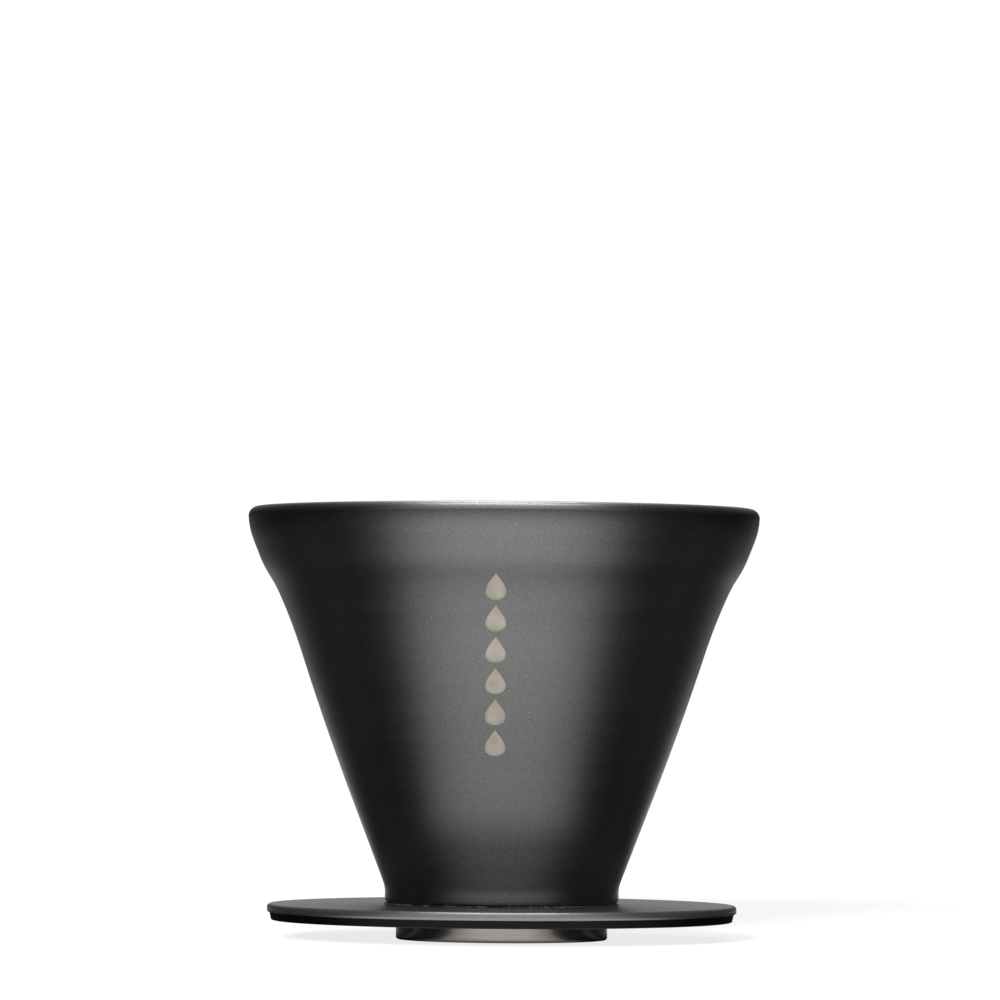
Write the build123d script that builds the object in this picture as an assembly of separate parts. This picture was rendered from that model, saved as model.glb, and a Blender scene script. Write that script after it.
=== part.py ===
from build123d import *
import os
from math import cos, radians, sin

# Double-wall steel pour over dripper. Units are millimetres.
# The origin is the centre of the neck ring's bottom edge, where the dripper stands, and +Z is up.
# Outlines are drawn as (radius, height) and spun around Z.

WALL = 0.8  # sheet steel of both walls and of the bottom disc

# Overall heights
TOP_Z = 99.6
PAD_BOTTOM_Z = 4.3
PAD_THICK = 1.8
PLATE_THICK = 2.0
GASKET_THICK = 0.3
PLATE_BOTTOM_Z = PAD_BOTTOM_Z + PAD_THICK
PLATE_TOP_Z = PLATE_BOTTOM_Z + PLATE_THICK
FOOT_Z = PLATE_TOP_Z + GASKET_THICK

# Outer shell, from the lip down to the collar
RIM_R = 59.1
LIP_CORNER_R = 2.2
LIP_OVERTURN = 3.2
BOWL_R = 17.3
BOWL_TURN = 18.3
BOWL_STRAIGHT = 3.9
SHOULDER_R = 26.0
SHOULDER_TURN = 12.0
WAIST_R = 26.7
WAIST_TURN = 9.2
EASE_R = 134.0
EASE_TURN = 6.3
BELLY_R = 715.0
BELLY_TURN = 2.9
COLLAR_R = 27.0
COLLAR_BLEND_R = 8.0
FOOT_CORNER_R = 1.0

# Inner cone that holds the paper filter
SEAM_R = 55.9  # where the shell's lip meets the cone's rim
CONE_HALF_ANGLE = 30.0
RIM_DROP = 1.4
RIM_BLEND_R = 6.0
DRAIN_R = 9.0
DRAIN_BLEND_R = 5.0
DRAIN_BOTTOM_Z = 9.0

# Spiral ribs on the cone
RIB_COUNT = 12
RIB_WIDTH = 2.0
RIB_HEIGHT = 0.9
RIB_INNER_R = 13.0
RIB_OUTER_R = 48.0
RIB_SWIRL = 50.0
RIB_BOW = 10.0  # swirl already made half way along

# Neck ring and the disc that closes the space between the walls
NECK_R = 24.4  # the band that locates in a mug's mouth
SEAT_R = 24.1  # the turned-down length above it, which the other pieces fit round
NECK_BORE_R = 23.2
NECK_TOP_Z = 12.4
NECK_EDGE_R = 0.6
NECK_SHOULDER_DROP = 0.1  # the shoulder's distance below the pad
DISC_SKIRT = 3.0
DISC_BEND_R = 1.5

# Base plate, its retaining ring and the silicone pad
PLATE_R = 54.2
PLATE_TOP_EDGE_R = 0.9
PLATE_BOTTOM_EDGE_R = 0.6
SEAT_CLEARANCE = 0.1
RETAINER_R = 28.0
RETAINER_THICK = 0.6
PAD_TOP_R = 53.6
PAD_BOTTOM_R = 53.3
PAD_EDGE_R = 0.4
PAD_GROOVE_RADII = (34.0, 40.0, 46.0)
PAD_GROOVE_WIDTH = 1.2
PAD_GROOVE_DEPTH = 0.4
GASKET_R = 26.4

# Pieces in the space between the walls
PLUG_PLACE_R = 16.5
PLUG_HOLE_R = 1.5
PLUG_CAP_R = 2.6
PLUG_CAP_THICK = 0.8
CLIP_Z = 13.0
CLIP_BAND = 2.0
CLIP_THICK = 0.4
CLIP_ARM_END_R = 17.5
CLIP_ARM_WIDTH = 6.0
GETTER_PLACE_R = 14.2
GETTER_R = 2.5
GETTER_THICK = 1.4


def walk(start, heading, steps, shift=0.0):
    """Edges that follow each other smoothly, as (radius, turn) steps, with turns to the right positive.

    A step with no turn is a straight run of that length. A shift moves the whole path to its right.
    """
    angle = radians(heading)
    x = start[0] + shift * sin(angle)
    y = start[1] - shift * cos(angle)
    edges = []
    for size, turn in steps:
        if turn == 0:
            far_end = (x + size * cos(angle), y + size * sin(angle))
            edges.append(Line((x, y), far_end))
        else:
            radius = size - shift if turn > 0 else size + shift
            edges.append(JernArc((x, y), (cos(angle), sin(angle)), radius, -turn))
            angle -= radians(turn)
        x, y = (edges[-1] @ 1).X, (edges[-1] @ 1).Y
    return edges


def end_of(edges):
    """(radius, height) of the last edge's end."""
    point = edges[-1] @ 1
    return point.X, point.Y


def spin(edges):
    """The solid inside a closed outline, turned around Z."""
    return revolve(Plane.XZ * make_face(edges), Axis.Z)


def spin_polygon(*points):
    return spin([Polyline(*points, close=True)])


def close_wall(outer, inner):
    """A closed wall outline from its two faces, which run the same way."""
    return [
        *outer,
        Line(end_of(outer), end_of(inner)),
        *inner,
        Line(inner[0] @ 0, outer[0] @ 0),
    ]


def shell_steps():
    """The outer shell's outer face, from the seam at the lip to the end of its turned-in foot."""
    lip = [
        (RIM_R - LIP_CORNER_R - SEAM_R, 0),
        (LIP_CORNER_R, 90 + LIP_OVERTURN),
        (BOWL_R, BOWL_TURN),
        (BOWL_STRAIGHT, 0),
        (SHOULDER_R, SHOULDER_TURN),
        (WAIST_R, -WAIST_TURN),
        (EASE_R, -EASE_TURN),
        (BELLY_R, BELLY_TURN),
    ]
    slope = LIP_OVERTURN + BOWL_TURN + SHOULDER_TURN - WAIST_TURN - EASE_TURN + BELLY_TURN
    belly_r, belly_z = end_of(walk((SEAM_R, TOP_Z), 0, lip))
    blend_width = COLLAR_BLEND_R * (1 - cos(radians(slope)))
    cone_run = (belly_r - blend_width - COLLAR_R) / sin(radians(slope))
    blend_height = COLLAR_BLEND_R * sin(radians(slope))
    collar_top_z = belly_z - cone_run * cos(radians(slope)) - blend_height
    collar = [
        (cone_run, 0),
        (COLLAR_BLEND_R, -slope),
        (collar_top_z - FOOT_Z - FOOT_CORNER_R, 0),
        (FOOT_CORNER_R, 90),
        (COLLAR_R - FOOT_CORNER_R - SEAT_R, 0),
    ]
    return lip + collar


def outer_shell():
    """Coated outer wall: rolled lip, bowl, cone, collar and a foot that turns in to the neck ring."""
    steps = shell_steps()
    outer = walk((SEAM_R, TOP_Z), 0, steps)
    inner = walk((SEAM_R, TOP_Z), 0, steps, shift=WALL)
    return spin(close_wall(outer, inner))


def cone_steps():
    """The cone's inner face, from the rim down to the drain."""
    rim_r = SEAM_R - WALL
    corner_width = (RIM_BLEND_R + DRAIN_BLEND_R) * (1 - cos(radians(CONE_HALF_ANGLE)))
    corner_height = (RIM_BLEND_R + DRAIN_BLEND_R) * sin(radians(CONE_HALF_ANGLE))
    slope_run = (rim_r - DRAIN_R - corner_width) / sin(radians(CONE_HALF_ANGLE))
    slope_height = slope_run * cos(radians(CONE_HALF_ANGLE))
    drain_run = TOP_Z - RIM_DROP - corner_height - slope_height - DRAIN_BOTTOM_Z
    return [
        (RIM_DROP, 0),
        (RIM_BLEND_R, CONE_HALF_ANGLE),
        (slope_run, 0),
        (DRAIN_BLEND_R, -CONE_HALF_ANGLE),
        (drain_run, 0),
    ]


def rib_layer():
    """A thin cone on the inner face, as thick as the ribs are high."""
    start = (SEAM_R - WALL, TOP_Z)
    face = walk(start, -90, cone_steps())
    skin = walk(start, -90, cone_steps(), shift=RIB_HEIGHT)
    return spin(close_wall(face, skin))


def rib_outline(number):
    """One rib seen from above: a round-ended slot that swirls outwards."""
    start_angle = number * 360 / RIB_COUNT
    middle_r = (RIB_INNER_R + RIB_OUTER_R) / 2
    places = (
        (RIB_INNER_R, start_angle),
        (middle_r, start_angle + RIB_SWIRL / 2 + RIB_BOW),
        (RIB_OUTER_R, start_angle + RIB_SWIRL),
    )
    points = [(r * cos(radians(a)), r * sin(radians(a))) for r, a in places]
    return SlotArc(ThreePointArc(*points), RIB_WIDTH)


def inner_cone():
    """Bare steel inner wall, whose swirling ribs hold the paper off the steel so that air can leave."""
    start = (SEAM_R - WALL, TOP_Z)
    inner = walk(start, -90, cone_steps())
    outer = walk(start, -90, cone_steps(), shift=-WALL)
    cone = spin(close_wall(inner, outer))
    layer = rib_layer()
    for number in range(RIB_COUNT):
        cone += extrude(rib_outline(number), TOP_Z) & layer
    return cone


def neck_ring():
    """Bare turned ring that drops into the mouth of a mug and carries the dripper on a table."""
    shoulder_z = PAD_BOTTOM_Z - NECK_SHOULDER_DROP
    ring = spin_polygon(
        (NECK_BORE_R, 0),
        (NECK_R, 0),
        (NECK_R, shoulder_z),
        (SEAT_R, shoulder_z),
        (SEAT_R, NECK_TOP_Z),
        (NECK_BORE_R, NECK_TOP_Z),
    )
    bottom_rim = ring.edges().group_by(Axis.Z)[0].sort_by(SortBy.RADIUS)[-1]
    return fillet(bottom_rim, NECK_EDGE_R)


def bottom_disc():
    """Pressed disc that closes the space between the walls, with a small hole where the air was drawn out."""
    drain_r = DRAIN_R + WALL
    steps = [
        (NECK_TOP_Z - DISC_BEND_R - DRAIN_BOTTOM_Z, 0),
        (DISC_BEND_R, 90),
        (NECK_BORE_R - drain_r - 2 * DISC_BEND_R, 0),
        (DISC_BEND_R, 90),
        (DISC_SKIRT - DISC_BEND_R, 0),
    ]
    upper = walk((drain_r, DRAIN_BOTTOM_Z), 90, steps)
    lower = walk((drain_r, DRAIN_BOTTOM_Z), 90, steps, shift=WALL)
    disc = spin(close_wall(upper, lower))
    hole = Pos(PLUG_PLACE_R, 0, NECK_TOP_Z) * Cylinder(PLUG_HOLE_R, 2 * DISC_SKIRT)
    return disc - hole


def vacuum_plug():
    """Fused bead that seals the disc's air hole from below."""
    floor_z = NECK_TOP_Z - WALL
    stem = Pos(PLUG_PLACE_R, 0, floor_z + WALL / 2) * Cylinder(PLUG_HOLE_R, WALL)
    cap = Pos(PLUG_PLACE_R, 0, floor_z - PLUG_CAP_THICK / 2) * Cylinder(PLUG_CAP_R, PLUG_CAP_THICK)
    cap = fillet(cap.edges().group_by(Axis.Z)[0], PLUG_CAP_THICK / 2)
    return stem + cap


def getter_clip():
    """Spring band around the cone's drain, with an arm for the getter."""
    band_r = DRAIN_R + WALL
    band = spin_polygon(
        (band_r, CLIP_Z),
        (band_r + CLIP_THICK, CLIP_Z),
        (band_r + CLIP_THICK, CLIP_Z + CLIP_BAND),
        (band_r, CLIP_Z + CLIP_BAND),
    )
    arm_length = CLIP_ARM_END_R - band_r
    arm = Pos(band_r + arm_length / 2, 0, CLIP_Z + CLIP_THICK / 2) * Box(arm_length, CLIP_ARM_WIDTH, CLIP_THICK)
    arm -= Cylinder(band_r, 2 * TOP_Z)
    return band + arm


def getter():
    """Pellet that soaks up stray gas between the walls."""
    return Pos(GETTER_PLACE_R, 0, CLIP_Z + CLIP_THICK + GETTER_THICK / 2) * Cylinder(GETTER_R, GETTER_THICK)


def base_plate():
    """Coated steel flange that rests over the mug."""
    hole_r = SEAT_R + SEAT_CLEARANCE
    plate = spin_polygon(
        (hole_r, PLATE_BOTTOM_Z),
        (PLATE_R, PLATE_BOTTOM_Z),
        (PLATE_R, PLATE_TOP_Z),
        (hole_r, PLATE_TOP_Z),
    )
    top_rim = plate.edges().group_by(Axis.Z)[-1].sort_by(SortBy.RADIUS)[-1]
    plate = fillet(top_rim, PLATE_TOP_EDGE_R)
    bottom_rim = plate.edges().group_by(Axis.Z)[0].sort_by(SortBy.RADIUS)[-1]
    return fillet(bottom_rim, PLATE_BOTTOM_EDGE_R)


def collar_gasket():
    """Thin ring between the shell's foot and the plate."""
    return spin_polygon(
        (SEAT_R, PLATE_TOP_Z),
        (GASKET_R, PLATE_TOP_Z),
        (GASKET_R, FOOT_Z),
        (SEAT_R, FOOT_Z),
    )


def retaining_ring():
    """Pressed steel ring that grips the neck ring and holds the plate up against the foot."""
    return spin_polygon(
        (SEAT_R, PLATE_BOTTOM_Z - RETAINER_THICK),
        (RETAINER_R, PLATE_BOTTOM_Z - RETAINER_THICK),
        (RETAINER_R, PLATE_BOTTOM_Z),
        (SEAT_R, PLATE_BOTTOM_Z),
    )


def silicone_pad():
    """Soft non-slip pad under the plate, relieved for the retaining ring and grooved underneath."""
    hole_r = SEAT_R + SEAT_CLEARANCE
    relief_z = PLATE_BOTTOM_Z - RETAINER_THICK
    pad = spin_polygon(
        (hole_r, PAD_BOTTOM_Z),
        (PAD_BOTTOM_R, PAD_BOTTOM_Z),
        (PAD_TOP_R, PLATE_BOTTOM_Z),
        (RETAINER_R, PLATE_BOTTOM_Z),
        (RETAINER_R, relief_z),
        (hole_r, relief_z),
    )
    bottom_rim = pad.edges().group_by(Axis.Z)[0].sort_by(SortBy.RADIUS)[-1]
    pad = fillet(bottom_rim, PAD_EDGE_R)
    for groove_r in PAD_GROOVE_RADII:
        pad -= spin_polygon(
            (groove_r - PAD_GROOVE_WIDTH / 2, PAD_BOTTOM_Z),
            (groove_r + PAD_GROOVE_WIDTH / 2, PAD_BOTTOM_Z),
            (groove_r, PAD_BOTTOM_Z + PAD_GROOVE_DEPTH),
        )
    return pad


PIECES = (
    outer_shell,
    inner_cone,
    neck_ring,
    bottom_disc,
    vacuum_plug,
    getter_clip,
    getter,
    base_plate,
    collar_gasket,
    retaining_ring,
    silicone_pad,
)

os.makedirs("parts", exist_ok=True)
for piece in PIECES:
    solid = piece()
    solid.label = piece.__name__
    export_step(solid, f"parts/{piece.__name__}.step")
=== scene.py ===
from math import acos, atan2, ceil, cos, hypot, pi, radians, sin, tau

import bmesh
import bpy
from mathutils import Euler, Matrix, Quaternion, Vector, noise


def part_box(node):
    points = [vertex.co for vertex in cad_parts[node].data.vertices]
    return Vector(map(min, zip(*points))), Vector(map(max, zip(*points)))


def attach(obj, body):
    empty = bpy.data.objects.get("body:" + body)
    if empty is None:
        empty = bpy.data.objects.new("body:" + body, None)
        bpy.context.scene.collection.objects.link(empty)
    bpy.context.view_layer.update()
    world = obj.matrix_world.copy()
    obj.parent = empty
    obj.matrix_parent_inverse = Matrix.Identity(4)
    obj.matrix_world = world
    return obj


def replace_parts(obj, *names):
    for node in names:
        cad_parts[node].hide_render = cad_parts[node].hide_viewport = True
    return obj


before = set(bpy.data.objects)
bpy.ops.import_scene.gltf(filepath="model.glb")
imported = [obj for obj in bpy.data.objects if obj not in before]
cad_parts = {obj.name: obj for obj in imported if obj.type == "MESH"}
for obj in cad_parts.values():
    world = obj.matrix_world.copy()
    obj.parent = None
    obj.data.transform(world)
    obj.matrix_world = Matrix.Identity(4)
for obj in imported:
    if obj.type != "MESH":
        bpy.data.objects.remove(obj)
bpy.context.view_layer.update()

# Lengths are in millimetres and angles in degrees, and MM turns them into metres.
MM = 0.001

# The camera stands well back, just above the dripper's middle, and tilts up
CAMERA_BACK = 1480
CAMERA_HEIGHT = 57.0
CAMERA_SIDE = -1.0
CAMERA_TILT = 1.721
CAMERA_ROLL = 0.38
CAMERA_LENS = 230.4

# The outer shell's outline, as in the CAD model
LIP_CORNER_R = 2.2
LIP_OVERTURN = 3.2
BOWL_R = 17.3
BOWL_TURN = 18.3
BOWL_STRAIGHT = 3.9
SHOULDER_R = 26.0
SHOULDER_TURN = 12.0
WAIST_R = 26.7
WAIST_TURN = 9.2
EASE_R = 134.0
EASE_TURN = 6.3
BELLY_R = 715.0
BELLY_TURN = 2.9
COLLAR_R = 27.0
COLLAR_BLEND_R = 8.0
FOOT_CORNER_R = 1.0
SEAT_R = 24.1

# The inner cone's outline
WALL = 0.8
CONE_HALF_ANGLE = 30.0
RIM_EDGE_R = 0.4
RIM_DROP = 1.4
RIM_BLEND_R = 6.0
DRAIN_R = 9.0
DRAIN_BLEND_R = 5.0

# The cone's pressed ribs
RIB_COUNT = 12
RIB_INNER_R = 13.0
RIB_OUTER_R = 48.0
RIB_SWIRL = 50.0
RIB_BOW = 10.0
RIB_HEIGHT = 0.85
RIB_CREST = 0.35
RIB_FOOT = 1.25
RIB_END_FADE = 3.0
RIB_COLUMNS = 10
FLAT_COLUMNS = 8

# Neck ring, plate and pad
NECK_BORE_R = 23.2
NECK_EDGE_R = 0.6
NECK_SHOULDER_DROP = 0.1
SEAT_CLEARANCE = 0.1
PLATE_TOP_EDGE_R = 0.9
PLATE_BOTTOM_EDGE_R = 0.6
PAD_TAPER = 0.3
PAD_EDGE_R = 0.4
PAD_GROOVE_RADII = (34.0, 40.0, 46.0)
PAD_GROOVE_WIDTH = 1.2
PAD_GROOVE_DEPTH = 0.4
GASKET_BULGE = 0.6
GASKET_UNEVEN = 0.35
GASKET_CROWN = 0.1
GASKET_EDGE_SHARE = 0.15

# The studio floor. Its own glow keeps shadows faint near the dripper, and hides the floor's end further out.
FLOOR_REACH = 6000
FLOOR_CELLS = 12
FLOOR_Z = -0.02
FLOOR_GLOW_Z = -0.4
NEAR_GLOW = 0.81
FAR_GLOW = 1.05
NEAR_GLOW_ENDS = 260
FAR_GLOW_STARTS = 420
PAPER_WHITE = 1.05

# Brightness of the studio, as (place, level): round from the front and up from the horizon in degrees,
# and out from the axis in millimetres
DOME_AROUND = (
    (0, 1.0), (25, 0.95), (40, 0.7), (50, 0.5), (57, 0.33), (60, 0.02), (96, 0.02), (98, 0.12),
    (106, 0.12), (108, 0.02), (117, 0.02), (122, 0.07), (150, 0.08), (162, 0.28), (180, 0.68),
)
DOME_UPWARDS = ((0, 0.25), (7, 0.25), (22, 0.9), (38, 1.0), (50, 1.9), (68, 1.6), (82, 0.9), (90, 0.9))
FLOOR_AROUND = (
    (0, 1.0), (21, 0.95), (34, 0.75), (42, 0.55), (47, 0.42), (52, 0.12), (62, 0.03), (89, 0.02), (91, 0.07),
    (100, 0.07), (102, 0.02), (115, 0.03), (128, 0.05), (140, 0.1), (155, 0.38), (166, 1.1), (180, 1.5),
)
FLOOR_OUTWARDS = (
    (22, 0.2), (36, 0.7), (62, 1.1), (85, 0.85), (110, 0.95), (160, 1.4), (350, 1.4), (800, 0.35),
)
FLOOR_OUTWARDS_TOP = 1000.0

# The etched column of drops on the front
DROP_COUNT = 6
DROP_WIDTH = 5.4
DROP_HEIGHT = 6.1
DROP_PITCH = 7.0
DROP_TOP_Z = 80.6
DROP_SIDE = -1.8
DROP_BELLY = 0.62
DROP_TAPER = 1.3
DROP_PROUD = 0.02
DROP_SKIRT = 0.06
DROP_POINTS = 48

# Mesh fineness
SEGMENTS = 288
ARC_STEP = 4.0
RUN_STEP = 1.5


# Outlines, as (radius, height) points in millimetres

def walk(start, heading, steps, shift=0.0):
    """Points along straight runs and arcs that follow each other smoothly.

    Each step is (radius, turn), with turns to the right positive. A step with no turn is a straight run of
    that length. A shift moves the whole path to its right.
    """
    angle = radians(heading)
    x = start[0] + shift * sin(angle)
    y = start[1] - shift * cos(angle)
    points = [(x, y)]
    for size, turn in steps:
        if turn == 0:
            count = ceil(size / RUN_STEP)
            runs = [size * i / count for i in range(1, count + 1)]
            points += [(x + run * cos(angle), y + run * sin(angle)) for run in runs]
        else:
            side = 1 if turn > 0 else -1
            radius = size - side * shift
            centre_x = x + side * radius * sin(angle)
            centre_y = y - side * radius * cos(angle)
            count = ceil(max(abs(turn) / ARC_STEP, radius * radians(abs(turn)) / RUN_STEP))
            angles = [angle - radians(turn) * i / count for i in range(1, count + 1)]
            points += [(centre_x - side * radius * sin(a), centre_y + side * radius * cos(a)) for a in angles]
            angle = angles[-1]
        x, y = points[-1]
    return points


def turned_sizes(node):
    """(outer radius, lowest height, highest height) of a CAD node that is round about Z."""
    low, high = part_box(node)
    return high[1] / MM, low[2] / MM, high[2] / MM


def shell_faces():
    """The shell's outer and inner faces, both from the lip's seam down to the foot."""
    rim_r, foot_z, top_z = turned_sizes("outer_shell")
    seam_r = turned_sizes("inner_cone")[0]
    seam = (seam_r, top_z)
    lip = [
        (rim_r - LIP_CORNER_R - seam_r, 0),
        (LIP_CORNER_R, 90 + LIP_OVERTURN),
        (BOWL_R, BOWL_TURN),
        (BOWL_STRAIGHT, 0),
        (SHOULDER_R, SHOULDER_TURN),
        (WAIST_R, -WAIST_TURN),
        (EASE_R, -EASE_TURN),
        (BELLY_R, BELLY_TURN),
    ]
    slope = LIP_OVERTURN + BOWL_TURN + SHOULDER_TURN - WAIST_TURN - EASE_TURN + BELLY_TURN
    belly_r, belly_z = walk(seam, 0, lip)[-1]
    blend_width = COLLAR_BLEND_R * (1 - cos(radians(slope)))
    blend_height = COLLAR_BLEND_R * sin(radians(slope))
    cone_run = (belly_r - blend_width - COLLAR_R) / sin(radians(slope))
    collar_top_z = belly_z - cone_run * cos(radians(slope)) - blend_height
    steps = lip + [
        (cone_run, 0),
        (COLLAR_BLEND_R, -slope),
        (collar_top_z - foot_z - FOOT_CORNER_R, 0),
        (FOOT_CORNER_R, 90),
        (COLLAR_R - FOOT_CORNER_R - SEAT_R, 0),
    ]
    return walk(seam, 0, steps), walk(seam, 0, steps, shift=WALL)


def cone_faces():
    """The inner cone's cavity face, from the seam over the rim and down to the drain, and its hidden face."""
    seam_r, drain_z, top_z = turned_sizes("inner_cone")
    rim_r = seam_r - WALL
    corner_width = (RIM_BLEND_R + DRAIN_BLEND_R) * (1 - cos(radians(CONE_HALF_ANGLE)))
    corner_height = (RIM_BLEND_R + DRAIN_BLEND_R) * sin(radians(CONE_HALF_ANGLE))
    slope_run = (rim_r - DRAIN_R - corner_width) / sin(radians(CONE_HALF_ANGLE))
    slope_height = slope_run * cos(radians(CONE_HALF_ANGLE))
    drain_run = top_z - RIM_DROP - corner_height - slope_height - drain_z
    lower = [
        (RIM_BLEND_R, CONE_HALF_ANGLE),
        (slope_run, 0),
        (DRAIN_BLEND_R, -CONE_HALF_ANGLE),
        (drain_run, 0),
    ]
    over_rim = [(WALL - RIM_EDGE_R, 0), (RIM_EDGE_R, -90), (RIM_DROP - RIM_EDGE_R, 0)]
    cavity = walk((seam_r, top_z), 180, over_rim + lower)
    hidden = walk((rim_r, top_z), -90, [(RIM_DROP, 0)] + lower, shift=-WALL)
    return cavity, hidden


def neck_outline():
    """The neck ring: a rounded lower edge, the locating band, its shoulder and the narrower seat."""
    neck_r, bottom_z, top_z = turned_sizes("neck_ring")
    shoulder_z = turned_sizes("silicone_pad")[1] - NECK_SHOULDER_DROP
    band = [
        (neck_r - NECK_BORE_R - NECK_EDGE_R, 0),
        (NECK_EDGE_R, -90),
        (shoulder_z - bottom_z - NECK_EDGE_R, 0),
    ]
    seat = [(SEAT_R, shoulder_z), (SEAT_R, top_z), (NECK_BORE_R, top_z)]
    return walk((NECK_BORE_R, bottom_z), 0, band) + seat


def plate_outline():
    """The flange: flat faces and a rounded edge."""
    plate_r, bottom_z, top_z = turned_sizes("base_plate")
    hole_r = SEAT_R + SEAT_CLEARANCE
    edge = [
        (plate_r - PLATE_BOTTOM_EDGE_R - hole_r, 0),
        (PLATE_BOTTOM_EDGE_R, -90),
        (top_z - bottom_z - PLATE_BOTTOM_EDGE_R - PLATE_TOP_EDGE_R, 0),
        (PLATE_TOP_EDGE_R, -90),
        (plate_r - PLATE_TOP_EDGE_R - hole_r, 0),
    ]
    return walk((hole_r, bottom_z), 0, edge)


def pad_outline():
    """The silicone pad: grooves underneath, a soft lower edge, and a relief over the retaining ring."""
    pad_r, bottom_z, top_z = turned_sizes("silicone_pad")
    retainer_r, retainer_z, _ = turned_sizes("retaining_ring")
    hole_r = SEAT_R + SEAT_CLEARANCE
    points = [(hole_r, bottom_z)]
    for groove_r in PAD_GROOVE_RADII:
        points += [
            (groove_r - PAD_GROOVE_WIDTH / 2, bottom_z),
            (groove_r, bottom_z + PAD_GROOVE_DEPTH),
            (groove_r + PAD_GROOVE_WIDTH / 2, bottom_z),
        ]
    corner = (pad_r - PAD_TAPER - PAD_EDGE_R, bottom_z)
    points += walk(corner, 0, [(PAD_EDGE_R, -90)])
    points += [(pad_r, top_z), (retainer_r, top_z), (retainer_r, retainer_z), (hole_r, retainer_z)]
    return points


# Meshes

def piece(name, vertices, faces, material, sharp_angle=35):
    """A smooth mesh, given in millimetres, that rides on the body and takes that finish."""
    mesh = bpy.data.meshes.new(name)
    mesh.from_pydata([(x * MM, y * MM, z * MM) for x, y, z in vertices], [], faces)
    tidy = bmesh.new()
    tidy.from_mesh(mesh)
    bmesh.ops.recalc_face_normals(tidy, faces=tidy.faces)
    tidy.to_mesh(mesh)
    tidy.free()
    mesh.polygons.foreach_set("use_smooth", [True] * len(mesh.polygons))
    mesh.set_sharp_from_angle(angle=radians(sharp_angle))
    mesh.materials.append(material)
    made = bpy.data.objects.new(name, mesh)
    bpy.context.scene.collection.objects.link(made)
    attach(made, "root")
    return made


def at_angle(radius, angle, height):
    """A point at that angle in radians, counted from the front, -Y, towards +X."""
    return radius * sin(angle), -radius * cos(angle), height


def band_faces(columns, rows):
    """Quads of a closed band of columns, each a closed loop of rows."""
    faces = []
    for column in range(columns):
        here = column * rows
        there = (column + 1) % columns * rows
        for row in range(rows):
            after = (row + 1) % rows
            faces.append((here + row, there + row, there + after, here + after))
    return faces


def lathe(name, outline, material):
    """A closed outline spun around Z."""
    vertices = []
    for segment in range(SEGMENTS):
        angle = tau * segment / SEGMENTS
        vertices += [at_angle(radius, angle, height) for radius, height in outline]
    return piece(name, vertices, band_faces(SEGMENTS, len(outline)), material)


def smooth(value):
    """An S-shaped step from 0 to 1."""
    t = min(max(value, 0.0), 1.0)
    return t * t * (3 - 2 * t)


def rib_circle():
    """Centre and radius of the arc, seen from above, that the first rib follows."""
    middle_r = (RIB_INNER_R + RIB_OUTER_R) / 2
    turned = ((RIB_INNER_R, 0), (middle_r, RIB_SWIRL / 2 + RIB_BOW), (RIB_OUTER_R, RIB_SWIRL))
    (ax, ay), (bx, by), (cx, cy) = [(r * cos(radians(a)), r * sin(radians(a))) for r, a in turned]
    span = 2 * (ax * (by - cy) + bx * (cy - ay) + cx * (ay - by))
    a2, b2, c2 = ax * ax + ay * ay, bx * bx + by * by, cx * cx + cy * cy
    x = (a2 * (by - cy) + b2 * (cy - ay) + c2 * (ay - by)) / span
    y = (a2 * (cx - bx) + b2 * (ax - cx) + c2 * (bx - ax)) / span
    return x, y, hypot(ax - x, ay - y)


def rib_angle(radius):
    """The first rib's angle at that radius, in radians."""
    x, y, reach = rib_circle()
    away = hypot(x, y)
    held = min(max(radius, RIB_INNER_R), RIB_OUTER_R)
    return atan2(y, x) + acos((held * held + away * away - reach * reach) / (2 * held * away))


def rib_columns(radius):
    """(angle, height of the rib there) for every column round the cone at that radius."""
    step = 1.0
    lean = radius * (rib_angle(radius + step) - rib_angle(radius - step)) / (2 * step)
    half_angle = RIB_FOOT * hypot(1, lean) / radius
    along = min(radius - RIB_INNER_R, RIB_OUTER_R - radius)
    crest = RIB_HEIGHT * smooth(along / RIB_END_FADE)
    sector = tau / RIB_COUNT
    columns = []
    for rib in range(RIB_COUNT):
        middle = rib_angle(radius) + rib * sector
        for i in range(RIB_COLUMNS):
            across = 2 * i / RIB_COLUMNS - 1
            rise = smooth((1 - abs(across)) / (1 - RIB_CREST / RIB_FOOT))
            columns.append((middle + across * half_angle, crest * rise))
        for i in range(FLAT_COLUMNS):
            flat = half_angle + (sector - 2 * half_angle) * i / FLAT_COLUMNS
            columns.append((middle + flat, 0.0))
    return columns


def inner_cone(material):
    """The filter cone, with its ribs running along the mesh's own columns."""
    cavity, hidden = cone_faces()
    rows = [(radius, height, True) for radius, height in cavity]
    rows += [(radius, height, False) for radius, height in hidden[::-1]]
    rings = []
    for radius, height, inside in rows:
        lift = 1.0 if inside else 0.0
        ring = []
        for angle, rise in rib_columns(radius):
            out = radius - lift * rise * cos(radians(CONE_HALF_ANGLE))
            up = height + lift * rise * sin(radians(CONE_HALF_ANGLE))
            ring.append((out * cos(angle), out * sin(angle), up))
        rings.append(ring)
    columns = len(rings[0])
    vertices = [rings[row][column] for column in range(columns) for row in range(len(rings))]
    cone = piece("filter_cone", vertices, band_faces(columns, len(rings)), material)
    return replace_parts(cone, "inner_cone")


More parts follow.
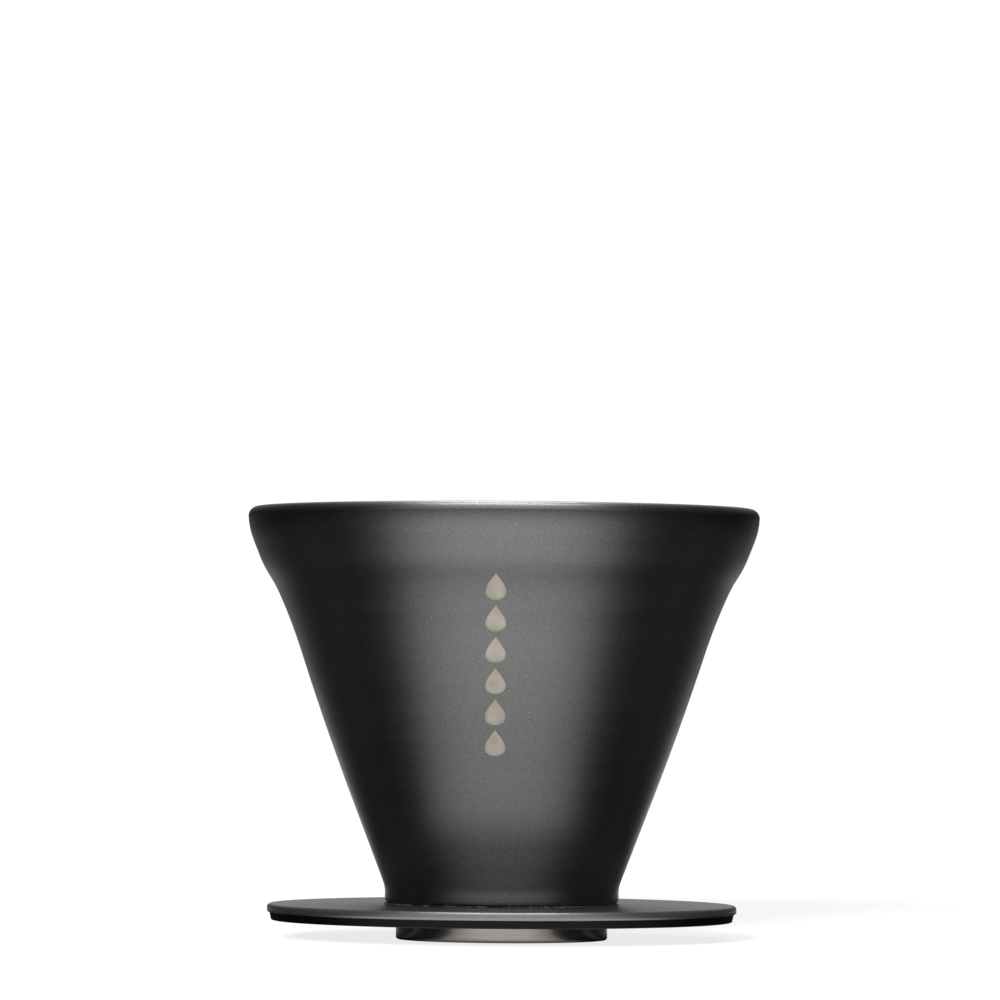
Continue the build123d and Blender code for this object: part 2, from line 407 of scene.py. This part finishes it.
def gasket_bead(material):
    """The bead in the joint between collar and flange, a little uneven where it was pressed out."""
    gasket_r, bottom_z, top_z = turned_sizes("collar_gasket")
    thick = top_z - bottom_z
    edge = GASKET_EDGE_SHARE * thick
    vertices = []
    for segment in range(SEGMENTS):
        angle = tau * segment / SEGMENTS
        slow_wave = noise.noise((6 * cos(angle), 6 * sin(angle), 0))
        quick_wave = noise.noise((25 * cos(angle), 25 * sin(angle), 4))
        bulge_r = gasket_r + GASKET_BULGE + GASKET_UNEVEN * (slow_wave + 0.5 * quick_wave)
        section = (
            (SEAT_R, bottom_z),
            (gasket_r, bottom_z),
            (bulge_r, bottom_z + edge),
            (bulge_r + GASKET_CROWN, bottom_z + thick / 2),
            (bulge_r, top_z - edge),
            (gasket_r, top_z),
            (SEAT_R, top_z),
        )
        vertices += [at_angle(radius, angle, height) for radius, height in section]
    faces = band_faces(SEGMENTS, len(section))
    bead = piece("gasket_bead", vertices, faces, material, sharp_angle=60)
    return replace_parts(bead, "collar_gasket")


def shell_radius(height, outer):
    """The shell's outer radius at that height."""
    for (upper_r, upper_z), (lower_r, lower_z) in zip(outer, outer[1:]):
        if lower_z <= height < upper_z:
            share = (height - lower_z) / (upper_z - lower_z)
            return lower_r + (upper_r - lower_r) * share
    raise ValueError(f"the shell has no height {height}")


def drop_edge():
    """A drop's edge about its centre: a round foot and a pointed top."""
    points = []
    for i in range(DROP_POINTS):
        t = tau * i / DROP_POINTS
        width = sin(t) * abs(sin(t / 2)) ** DROP_TAPER
        points.append((DROP_BELLY * DROP_WIDTH * width, DROP_HEIGHT / 2 * cos(t)))
    return points


def etched_drops(material):
    """A plain column of drops that follows the front of the body."""
    outer = shell_faces()[0]
    edge = drop_edge()
    rings = [(share, DROP_PROUD) for share in (0.25, 0.5, 0.75, 0.96)]
    rings.append((1.0, -DROP_SKIRT))
    vertices = []
    faces = []
    for number in range(DROP_COUNT):
        middle_z = DROP_TOP_Z - number * DROP_PITCH
        first = len(vertices)
        across = [(0.0, 0.0, DROP_PROUD)]
        across += [(x * share, z * share, proud) for share, proud in rings for x, z in edge]
        for x, z, proud in across:
            radius = shell_radius(middle_z + z, outer) + proud
            vertices.append(at_angle(radius, (DROP_SIDE + x) / radius, middle_z + z))
        for i in range(DROP_POINTS):
            j = (i + 1) % DROP_POINTS
            faces.append((first, first + 1 + i, first + 1 + j))
            for ring_number in range(len(rings) - 1):
                here = first + 1 + ring_number * DROP_POINTS
                there = here + DROP_POINTS
                faces.append((here + i, there + i, there + j, here + j))
    return piece("etched_drops", vertices, faces, material, sharp_angle=60)


# Materials

def add(tree, kind, settings=None, **sockets):
    """A new node. A socket's name has underscores for spaces, and takes a value or a link."""
    made = tree.nodes.new(kind)
    for key, value in (settings or {}).items():
        setattr(made, key, value)
    for name, value in sockets.items():
        connect(tree, made.inputs[name.replace("_", " ")], value)
    return made


def connect(tree, socket, value):
    """Links a socket to another one, or sets it to a plain value."""
    if isinstance(value, bpy.types.NodeSocket):
        tree.links.new(value, socket)
    else:
        socket.default_value = value


def maths(tree, operation, *values):
    """The result of a sum on values and links."""
    made = tree.nodes.new("ShaderNodeMath")
    made.operation = operation
    for socket, value in zip(made.inputs, values):
        connect(tree, socket, value)
    return made.outputs[0]


def mapped(tree, value, low, high, to_low, to_high):
    """The value's range low to high, carried smoothly to another range."""
    made = add(tree, "ShaderNodeMapRange", {"interpolation_type": "SMOOTHSTEP"}, Value=value,
               From_Min=low, From_Max=high, To_Min=to_low, To_Max=to_high)
    return made.outputs["Result"]


def mixed(tree, factor, first, second):
    """Two colours mixed by a factor. A mix node's colour sockets share their names, so they go by number."""
    made = add(tree, "ShaderNodeMix", {"data_type": "RGBA"})
    connect(tree, made.inputs[0], factor)
    connect(tree, made.inputs[6], first)
    connect(tree, made.inputs[7], second)
    return made.outputs[2]


def bump(tree, height, strength, depth):
    """A bump of that depth in millimetres."""
    made = add(tree, "ShaderNodeBump", Height=height, Strength=strength, Distance=depth * MM)
    return made.outputs["Normal"]


def new_material(name, **constants):
    """(material, its node tree, its shader), with the shader's constant sockets set."""
    material = bpy.data.materials.new(name)
    material.use_nodes = True
    tree = material.node_tree
    shader = next(n for n in tree.nodes if n.type == "BSDF_PRINCIPLED")
    for key, value in constants.items():
        shader.inputs[key.replace("_", " ")].default_value = value
    return material, tree, shader


def output_of(tree):
    """The surface socket of the material's output."""
    return next(n for n in tree.nodes if n.type == "OUTPUT_MATERIAL").inputs["Surface"]


def grain(tree, size, detail=2.0, vector=None):
    """Noise from 0 to 1 with lumps of that size in millimetres."""
    place = vector or add(tree, "ShaderNodeTexCoord").outputs["Object"]
    return add(tree, "ShaderNodeTexNoise", Vector=place, Scale=1 / (size * MM), Detail=detail).outputs["Fac"]


def place_of(tree, kind="Object"):
    """The x, y and z of a surface point, in metres. In the sky, Generated gives the direction instead."""
    place = add(tree, "ShaderNodeTexCoord").outputs[kind]
    return add(tree, "ShaderNodeSeparateXYZ", Vector=place).outputs


def distance_out(tree, x, y):
    """How far a point at x and y lies from the axis."""
    squares = maths(tree, "ADD", maths(tree, "MULTIPLY", x, x), maths(tree, "MULTIPLY", y, y))
    return maths(tree, "SQRT", squares)


def round_axis(tree, along, across):
    """Coordinates that run round Z: lumps are that long round it, and that fine along it and outwards."""
    x, y, z = place_of(tree)
    radius = distance_out(tree, x, y)
    flat = add(tree, "ShaderNodeCombineXYZ", X=x, Y=y).outputs[0]
    ring = add(tree, "ShaderNodeVectorMath", {"operation": "NORMALIZE"})
    connect(tree, ring.inputs[0], flat)
    turn = add(tree, "ShaderNodeSeparateXYZ", Vector=ring.outputs[0])
    section = maths(tree, "MULTIPLY", maths(tree, "ADD", z, radius), 1 / (across * MM))
    return add(
        tree,
        "ShaderNodeCombineXYZ",
        X=maths(tree, "MULTIPLY", turn.outputs[0], 30 / along),
        Y=maths(tree, "MULTIPLY", turn.outputs[1], 30 / along),
        Z=section,
    ).outputs[0]


def turned_noise(tree, along, across, detail):
    """Noise from 0 to 1 with lumps stretched round Z, of those lengths in millimetres."""
    place = round_axis(tree, along, across)
    return add(tree, "ShaderNodeTexNoise", Vector=place, Scale=1.0, Detail=detail).outputs["Fac"]


def specks(tree, spacing, size):
    """1 at rare small specks and 0 elsewhere."""
    place = add(tree, "ShaderNodeTexCoord").outputs["Object"]
    cells = add(tree, "ShaderNodeTexVoronoi", Vector=place, Scale=1 / (spacing * MM))
    return mapped(tree, cells.outputs["Distance"], size / spacing, 0.4 * size / spacing, 0.0, 1.0)


def coat(name, dark, light, rough, grain_depth, metal, dust_spacing):
    """Satin metal-flake coat: fine grain, faint turned bands and a few specks of dust."""
    material, tree, shader = new_material(name, Metallic=metal)
    fine = grain(tree, 0.22)
    bands = turned_noise(tree, 60, 4.0, detail=2.0)
    grain_share = mapped(tree, fine, 0.3, 0.7, 0.0, 0.8)
    band_share = mapped(tree, bands, 0.35, 0.65, 0.0, 0.08)
    base = mixed(tree, maths(tree, "ADD", grain_share, band_share), dark, light)
    speckled = mixed(tree, specks(tree, dust_spacing, 0.12), base, (0.6, 0.6, 0.6, 1))
    connect(tree, shader.inputs["Base Color"], speckled)
    roughness = maths(tree, "ADD", mapped(tree, bands, 0.3, 0.7, rough - 0.01, rough + 0.01),
                      mapped(tree, fine, 0.3, 0.7, -0.03, 0.03))
    connect(tree, shader.inputs["Roughness"], roughness)
    connect(tree, shader.inputs["Normal"], bump(tree, fine, 0.5, grain_depth))
    return material


def brushed_steel(name, colour, rough, line_depth):
    """Bare steel turned round the axis, with fine lines and slight stains."""
    material, tree, shader = new_material(name, Metallic=1.0)
    lines = turned_noise(tree, 8, 0.15, detail=3.0)
    stain = grain(tree, 6.0)
    dull = tuple(0.8 * c for c in colour[:3]) + (1.0,)
    shade = mapped(tree, lines, 0.35, 0.65, 0.0, 1.0)
    connect(tree, shader.inputs["Base Color"], mixed(tree, shade, dull, colour))
    roughness = maths(tree, "ADD", mapped(tree, lines, 0.3, 0.7, 0.7 * rough, 1.3 * rough),
                      mapped(tree, stain, 0.35, 0.65, -0.1 * rough, 0.1 * rough))
    connect(tree, shader.inputs["Roughness"], roughness)
    connect(tree, shader.inputs["Normal"], bump(tree, lines, 0.5, line_depth))
    return material


def etched_steel():
    """Bare steel where the coat was burnt away, with a frosted grain."""
    material, tree, shader = new_material("etched_steel", Metallic=1.0)
    frost = grain(tree, 0.16)
    patch = grain(tree, 2.5)
    shade = mapped(tree, patch, 0.3, 0.7, 0.0, 1.0)
    bright = mixed(tree, shade, (0.37, 0.34, 0.29, 1), (0.44, 0.40, 0.34, 1))
    connect(tree, shader.inputs["Base Color"], bright)
    connect(tree, shader.inputs["Roughness"], mapped(tree, frost, 0.3, 0.7, 0.34, 0.46))
    connect(tree, shader.inputs["Normal"], bump(tree, frost, 0.4, 0.02))
    return material


def silicone():
    """Soft black silicone with a dry, slightly dusty skin."""
    material, tree, shader = new_material("silicone", Specular_IOR_Level=0.2)
    skin = grain(tree, 0.12)
    dust = mixed(tree, specks(tree, 4.0, 0.1), (0.003, 0.003, 0.004, 1), (0.1, 0.1, 0.1, 1))
    connect(tree, shader.inputs["Base Color"], dust)
    connect(tree, shader.inputs["Roughness"], mapped(tree, skin, 0.3, 0.7, 0.5, 0.62))
    connect(tree, shader.inputs["Normal"], bump(tree, skin, 0.3, 0.01))
    return material


def bead_rubber():
    """Dark sealing bead with broken paler crumbs along it."""
    material, tree, shader = new_material("bead_rubber", Specular_IOR_Level=0.6)
    crumbs = grain(tree, 0.7, detail=4.0)
    runs = grain(tree, 5.0)
    broken = mapped(tree, crumbs, 0.45, 0.6, 0.0, 1.0)
    pale = maths(tree, "MULTIPLY", broken, mapped(tree, runs, 0.3, 0.6, 0.1, 1.0))
    connect(tree, shader.inputs["Base Color"], mixed(tree, pale, (0.03, 0.03, 0.03, 1), (0.5, 0.49, 0.5, 1)))
    connect(tree, shader.inputs["Roughness"], mapped(tree, crumbs, 0.3, 0.7, 0.5, 0.25))
    connect(tree, shader.inputs["Normal"], bump(tree, crumbs, 0.6, 0.08))
    return material


def fired_ceramic():
    """Dull grey fired powder."""
    material, tree, shader = new_material("fired_ceramic")
    crumbs = grain(tree, 0.15)
    grey = mixed(tree, crumbs, (0.1, 0.1, 0.11, 1), (0.25, 0.25, 0.25, 1))
    connect(tree, shader.inputs["Base Color"], grey)
    connect(tree, shader.inputs["Roughness"], mapped(tree, crumbs, 0.3, 0.7, 0.6, 0.85))
    connect(tree, shader.inputs["Normal"], bump(tree, crumbs, 0.5, 0.03))
    return material


def dress(node, material):
    """Gives a CAD node that stays a better material."""
    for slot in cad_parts[node].material_slots:
        slot.material = material


# The studio

def camera():
    """The camera that frames the dripper from the front."""
    made = bpy.data.objects.new("camera", bpy.data.cameras.new("camera"))
    bpy.context.scene.collection.objects.link(made)
    made.data.lens = CAMERA_LENS
    made.data.sensor_width = 36.0
    made.data.clip_start = 0.05
    made.data.clip_end = 50.0
    made.location = (CAMERA_SIDE * MM, -CAMERA_BACK * MM, CAMERA_HEIGHT * MM)
    level = Euler((radians(90 + CAMERA_TILT), 0, 0)).to_quaternion()
    made.rotation_mode = "QUATERNION"
    made.rotation_quaternion = level @ Quaternion((0, 0, 1), radians(CAMERA_ROLL))
    bpy.context.scene.camera = made


def wide_plane(name, height, material):
    """A level sheet that reaches far out all round."""
    mesh = bpy.data.meshes.new(name)
    side = FLOOR_CELLS + 1
    places = [(2 * i / FLOOR_CELLS - 1) * FLOOR_REACH * MM for i in range(side)]
    corners = [i * side + j for i in range(FLOOR_CELLS) for j in range(FLOOR_CELLS)]
    faces = [(c, c + side, c + side + 1, c + 1) for c in corners]
    mesh.from_pydata([(x, y, height * MM) for x in places for y in places], [], faces)
    mesh.materials.append(material)
    made = bpy.data.objects.new(name, mesh)
    bpy.context.scene.collection.objects.link(made)
    return made


def floor():
    """A plain white floor that only the camera sees, from above, bright enough to keep its shadows faint."""
    material, tree, shader = new_material("floor_paint", Roughness=1.0, Specular_IOR_Level=0.0)
    shader.inputs["Emission Color"].default_value = (1, 1, 1, 1)
    x, y, _ = place_of(tree)
    reach = maths(tree, "DIVIDE", distance_out(tree, x, y), MM)
    glow = mapped(tree, reach, NEAR_GLOW_ENDS, FAR_GLOW_STARTS, NEAR_GLOW, FAR_GLOW)
    connect(tree, shader.inputs["Emission Strength"], glow)
    cloud = grain(tree, 90.0)
    paint = mixed(tree, cloud, (0.10, 0.10, 0.10, 1), (0.11, 0.11, 0.11, 1))
    connect(tree, shader.inputs["Base Color"], paint)
    below = add(tree, "ShaderNodeNewGeometry").outputs["Backfacing"]
    both = add(tree, "ShaderNodeMixShader", Fac=below)
    tree.links.new(shader.outputs[0], both.inputs[1])
    tree.links.new(add(tree, "ShaderNodeBsdfTransparent").outputs[0], both.inputs[2])
    tree.links.new(both.outputs[0], output_of(tree))
    made = wide_plane("floor", FLOOR_Z, material)
    made.visible_glossy = False
    made.visible_diffuse = False
    made.visible_shadow = False
    return made


def ramp(tree, value, top, stops):
    """A smooth curve through (value, level) stops, for values from 0 to the top one."""
    made = add(tree, "ShaderNodeValToRGB", Fac=maths(tree, "DIVIDE", value, top))
    made.color_ramp.interpolation = "EASE"
    elements = made.color_ramp.elements
    while len(elements) > 1:
        elements.remove(elements[-1])
    for number, (place, level) in enumerate(stops):
        element = elements[0] if number == 0 else elements.new(place / top)
        element.position = place / top
        element.color = (level, level, level, 1)
    return made.outputs["Color"]


def turn_from_front(tree, x, y):
    """Degrees from the front, -Y, either way round Z."""
    turn = maths(tree, "ARCTAN2", x, maths(tree, "MULTIPLY", y, -1.0))
    return maths(tree, "MULTIPLY", maths(tree, "ABSOLUTE", turn), 180 / pi)


def floor_glow():
    """The lit floor as the object reflects it: bright in front, darker close to the foot and far away."""
    material = bpy.data.materials.new("floor_glow")
    material.use_nodes = True
    tree = material.node_tree
    tree.nodes.clear()
    x, y, _ = place_of(tree)
    reach = maths(tree, "DIVIDE", distance_out(tree, x, y), MM)
    outwards = ramp(tree, reach, FLOOR_OUTWARDS_TOP, FLOOR_OUTWARDS)
    around = ramp(tree, turn_from_front(tree, x, y), 180.0, FLOOR_AROUND)
    glow = add(tree, "ShaderNodeEmission", Color=maths(tree, "MULTIPLY", outwards, around), Strength=1.0)
    output = add(tree, "ShaderNodeOutputMaterial")
    tree.links.new(glow.outputs[0], output.inputs["Surface"])
    made = wide_plane("floor_glow", FLOOR_GLOW_Z, material)
    made.visible_camera = False
    made.visible_shadow = False


def studio_dome():
    """Soft light from all round: a wide bank in front, dark wings at the sides, a pale backdrop behind."""
    world = bpy.data.worlds.new("studio")
    bpy.context.scene.world = world
    world.use_nodes = True
    tree = world.node_tree
    tree.nodes.clear()
    x, y, z = place_of(tree, "Generated")
    height = maths(tree, "MULTIPLY", maths(tree, "ARCSINE", z), 180 / pi)
    around = ramp(tree, turn_from_front(tree, x, y), 180.0, DOME_AROUND)
    upwards = ramp(tree, maths(tree, "MAXIMUM", height, 0.0), 90.0, DOME_UPWARDS)
    glow = add(tree, "ShaderNodeBackground", Color=maths(tree, "MULTIPLY", around, upwards))
    paper = add(tree, "ShaderNodeBackground", Color=(1, 1, 1, 1), Strength=PAPER_WHITE)
    seen = add(tree, "ShaderNodeLightPath").outputs["Is Camera Ray"]
    both = add(tree, "ShaderNodeMixShader", Fac=seen)
    tree.links.new(glow.outputs[0], both.inputs[1])
    tree.links.new(paper.outputs[0], both.inputs[2])
    output = add(tree, "ShaderNodeOutputWorld")
    tree.links.new(both.outputs[0], output.inputs["Surface"])


def lamp(name, place, size, energy):
    """A soft lamp, placed in metres and of that width and depth, that faces the foot of the dripper."""
    data = bpy.data.lights.new(name, "AREA")
    data.shape = "RECTANGLE"
    data.size, data.size_y = size
    data.energy = energy
    made = bpy.data.objects.new(name, data)
    made.location = place
    made.rotation_mode = "QUATERNION"
    made.rotation_quaternion = made.location.to_track_quat("Z", "Y")
    bpy.context.scene.collection.objects.link(made)
    return made


def shadow_lamp(ground):
    """A low lamp in front, a little to the left, that only lights the floor, for a faint shadow behind."""
    made = lamp("shadow_lamp", (-0.32, -1.40, 0.44), (0.3, 0.3), 130.0)
    lit = bpy.data.collections.new("lit_by_shadow_lamp")
    lit.objects.link(ground)
    made.light_linking.receiver_collection = lit


body_coat = coat("body_coat", (0.130, 0.130, 0.130, 1), (0.225, 0.224, 0.222, 1), 0.34, 0.03, 1.0, 3.2)
# The flange takes the body's charcoal coat, smoother and a little less metallic. Its paler base is painted
# light: it stands in for light on the flange and for the light it throws back onto the lower body.
plate_coat = coat("plate_coat", (0.26, 0.26, 0.262, 1), (0.33, 0.33, 0.331, 1), 0.30, 0.015, 0.8, 2.0)
ring_steel = brushed_steel("ring_steel", (0.39, 0.365, 0.33, 1), 0.10, 0.004)
cone_steel = brushed_steel("cone_steel", (0.56, 0.54, 0.51, 1), 0.26, 0.01)
spring_steel = brushed_steel("spring_steel", (0.40, 0.40, 0.41, 1), 0.35, 0.01)

shell_outer, shell_inner = shell_faces()
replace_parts(lathe("shell", shell_outer + shell_inner[::-1], body_coat), "outer_shell")
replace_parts(lathe("flange", plate_outline(), plate_coat), "base_plate")
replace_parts(lathe("pad", pad_outline(), silicone()), "silicone_pad")
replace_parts(lathe("neck", neck_outline(), ring_steel), "neck_ring")
inner_cone(cone_steel)
gasket_bead(bead_rubber())
etched_drops(etched_steel())

dress("bottom_disc", cone_steel)
dress("getter_clip", spring_steel)
dress("retaining_ring", spring_steel)
dress("vacuum_plug", fired_ceramic())
dress("getter", fired_ceramic())

camera()
studio_dome()
floor_glow()
shadow_lamp(floor())
lamp("overhead", (0.0, -0.1, 1.3), (0.8, 0.25), 7.5)
lamp("rim_lamp", (0.0, 0.6, 1.04), (0.35, 0.35), 3.5)
bpy.context.scene.view_settings.view_transform = "Standard"
